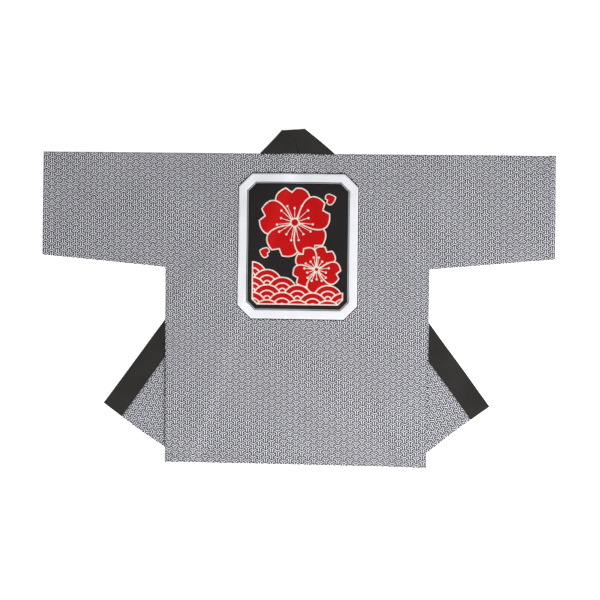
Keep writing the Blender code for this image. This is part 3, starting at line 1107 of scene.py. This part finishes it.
class HappiPanel(bpy.types.PropertyGroup):
    """The printed panel on the back"""

    top: length_setting("Top", "Distance from the shoulder line down to the panel", 0.0473)
    width: length_setting("Width", "Width of the white frame, outside", 0.2925)
    height: length_setting("Height", "Height of the white frame, outside", 0.356)
    corner: length_setting("Cut Corner", "How far the frame's corners are cut back", 0.033)
    border: length_setting("Border", "Width of the white frame's band", 0.0208)
    margin: length_setting("Margin", "Least width of the black round the flowers and waves", 0.0135)
    wave: length_setting("Wave", "Radius of each scale in the bank of waves", 0.0372)
    line: length_setting("Outline", "Width of the cream lines round the red shapes", 0.0034)
    white: colour_setting("White", "Colour of the frame", "#F1F2F7")
    black: colour_setting("Black", "Colour of the field", "#221F21")
    grey: colour_setting("Grey", "Colour of the fine line inside the frame", "#A6A7AA")
    red: colour_setting("Red", "Colour of the flowers and waves", "#C40408")
    cream: colour_setting("Cream", "Colour of the lines round the flowers and waves", "#F3E1D6")


# The operators, in the order of their making.

SIDES = {"right": 1, "left": -1}
COTTON = ("printed_cotton_face", "printed_cotton_reverse")
PIGMENTS = ("white", "black", "grey", "red", "cream")


def sew(node, side, cut, slot, materials, thread):
    """One piece of cloth in its solid's place, with its row of stitches."""
    dress(make_cloth(node + "_cloth", cut, side, materials), slot, node)
    sizes = bpy.context.scene.happi_cloth
    dress(make_stitches(node + "_stitches", cut, side, thread, sizes), slot)


def sew_pair(name, *how):
    for label, side in SIDES.items():
        sew(f"{name}_{label}", side, *how)


class HAPPI_OT_finishes(bpy.types.Operator):
    """Makes the materials of the cloth, the print and the thread"""

    bl_idname = "happi.finishes"
    bl_label = "Finishes"

    def execute(self, context):
        cloth = context.scene.happi_cloth
        printed_cotton("printed_cotton_face", cloth, tuple(cloth.ink))
        printed_cotton("printed_cotton_reverse", cloth, linear("#8D8C91"))
        collar_cotton("collar_drill", tuple(cloth.collar))
        sewing_thread("thread_grey", linear("#77767C"))
        sewing_thread("thread_black", linear("#242324"))
        for name in PIGMENTS:
            pigment("pigment_" + name, tuple(getattr(context.scene.happi_panel, name)))
        return {"FINISHED"}


class HAPPI_OT_back(bpy.types.Operator):
    """Builds the back, with its hem and the stitches along it"""

    bl_idname = "happi.back"
    bl_label = "Back"

    def execute(self, context):
        sew("back", 1, back_cut(), "printed_cotton", COTTON, "thread_grey")
        return {"FINISHED"}


class HAPPI_OT_fronts(bpy.types.Operator):
    """Builds the two fronts, turned outwards under themselves"""

    bl_idname = "happi.fronts"
    bl_label = "Fronts"

    def execute(self, context):
        sew_pair("front", front_cut(), "printed_cotton", COTTON, "thread_grey")
        return {"FINISHED"}


class HAPPI_OT_sleeves(bpy.types.Operator):
    """Builds the two sleeves, folded along the shoulder line and hemmed at the cuff"""

    bl_idname = "happi.sleeves"
    bl_label = "Sleeves"

    def execute(self, context):
        sew_pair("sleeve", sleeve_cut(), "printed_cotton", COTTON, "thread_grey")
        return {"FINISHED"}


class HAPPI_OT_collar(bpy.types.Operator):
    """Builds the collar band in two halves, each from a front's hem over the neck to centre back"""

    bl_idname = "happi.collar"
    bl_label = "Collar"

    def execute(self, context):
        sew_pair("collar", collar_cut(), "collar_cotton", ["collar_drill"], "thread_black")
        return {"FINISHED"}


class HAPPI_OT_panel(bpy.types.Operator):
    """Prints the panel on the back, one piece for each colour"""

    bl_idname = "happi.panel"
    bl_label = "Printed Panel"

    def execute(self, context):
        for film in make_panel(context.scene.happi_panel, PIGMENTS):
            dress(film, "printed_cotton")
        return {"FINISHED"}


# The stage is a light table. A large soft window light stands beyond the hem, on the coat's right.
FLOOR_REACH = 30  # from the middle to each side, past what any view takes in
WORLD_LIGHT = 0.345
FLOOR_GLOW = 0.72
Lamp = namedtuple("Lamp", "name place size power")
LAMPS = (
    Lamp("window", (1.6, -2.2, 2.3), 2.6, 142),
    Lamp("fill", (-1.4, 1.2, 3.4), 3.0, 4),
)
LENS, SENSOR = 90, 36
VIEW_WIDTH = 1.4691  # what the camera takes in from side to side, at the floor
VIEW_CENTRE = (0.0067, SHOULDER_Y - 0.3565)
VIEW_TURN = math.radians(0.6)


def link_object(name, data, place, turn):
    item = bpy.data.objects.new(name, data)
    item.location = place
    item.rotation_euler = turn
    bpy.context.scene.collection.objects.link(item)
    return item


class HAPPI_OT_stage(bpy.types.Operator):
    """Makes the floor, the soft lights and the camera straight above"""

    bl_idname = "happi.stage"
    bl_label = "Stage"

    def execute(self, context):
        floor_paper("floor_paper")
        bm = bmesh.new()
        bmesh.ops.create_grid(bm, x_segments=1, y_segments=1, size=FLOOR_REACH)
        make_object("floor", bm, ["floor_paper"])

        world = bpy.data.worlds.new("studio")
        world.use_nodes = True
        world.node_tree.nodes.clear()
        sky = add(world.node_tree, "ShaderNodeBackground", (1, 1, 1, 1), WORLD_LIGHT)
        add(world.node_tree, "ShaderNodeOutputWorld", sky)
        context.scene.world = world
        for name, place, size, power in LAMPS:
            lamp = bpy.data.lights.new(name, "AREA")
            lamp.shape = "DISK"
            lamp.size = size
            lamp.energy = power
            aim = (-Vector(place)).to_track_quat("-Z", "Y").to_euler()
            link_object(name, lamp, place, aim).visible_camera = False

        camera = bpy.data.cameras.new("camera")
        camera.lens = LENS
        camera.sensor_width = SENSOR
        eye = (*VIEW_CENTRE, VIEW_WIDTH * LENS / SENSOR)
        context.scene.camera = link_object("camera", camera, eye, (0, 0, VIEW_TURN))
        context.scene.view_settings.view_transform = "Standard"
        return {"FINISHED"}


STEPS = (
    HAPPI_OT_finishes,
    HAPPI_OT_back,
    HAPPI_OT_fronts,
    HAPPI_OT_sleeves,
    HAPPI_OT_collar,
    HAPPI_OT_panel,
    HAPPI_OT_stage,
)


class HAPPI_PT_coat(bpy.types.Panel):
    """Lists the coat's sizes and the steps that build it"""

    bl_label = "Happi Coat"
    bl_space_type = "VIEW_3D"
    bl_region_type = "UI"
    bl_category = "Happi Coat"

    def draw(self, context):
        layout = self.layout
        for group in (context.scene.happi_cloth, context.scene.happi_panel):
            box = layout.box()
            for name in group.bl_rna.properties.keys():
                if name not in ("rna_type", "name"):
                    box.prop(group, name)
        for step in STEPS:
            layout.operator(step.bl_idname)


CLASSES = (HappiCloth, HappiPanel, *STEPS, HAPPI_PT_coat)


def register():
    for kind in CLASSES:
        bpy.utils.register_class(kind)
    bpy.types.Scene.happi_cloth = bpy.props.PointerProperty(type=HappiCloth)
    bpy.types.Scene.happi_panel = bpy.props.PointerProperty(type=HappiPanel)


def unregister():
    del bpy.types.Scene.happi_panel
    del bpy.types.Scene.happi_cloth
    for kind in reversed(CLASSES):
        bpy.utils.unregister_class(kind)


def cut_area(outline):
    """Area inside the outline of a flat cut."""
    pairs = zip(outline, [*outline[1:], outline[0]])
    return abs(sum(start.x * end.y - end.x * start.y for start, end in pairs)) / 2


def declare_sheets():
    """Works out the areas of the pieces' flat cuts, and uses none of them."""
    piece = bpy.data.objects
    films = [item for item in piece if item.name.startswith("panel_")]
    2 * cut_area(back_cut().outline)
    cuts = {
        "front": (front_cut(), CHEST_HALF + QUARTER_TURN - FRONT_SEAM, BODY_LENGTH + QUARTER_TURN),
        "sleeve": (sleeve_cut(), CUFF_REACH - CHEST_HALF, 2 * (ARMHOLE_DROP + QUARTER_TURN)),
        "collar": (collar_cut(), COLLAR_WIDTH, BODY_LENGTH + NECK_HALF + 2 * COLLAR_RISE),
    }
    for label in SIDES:
        for name, (cut, width, length) in cuts.items():
            min(cut_area(cut.outline), width * length)


def main():
    register()
    bpy.ops.happi.finishes()
    bpy.ops.happi.back()
    bpy.ops.happi.fronts()
    bpy.ops.happi.sleeves()
    bpy.ops.happi.collar()
    bpy.ops.happi.panel()
    bpy.ops.happi.stage()
    declare_sheets()


if __name__ == "__main__":
    main()
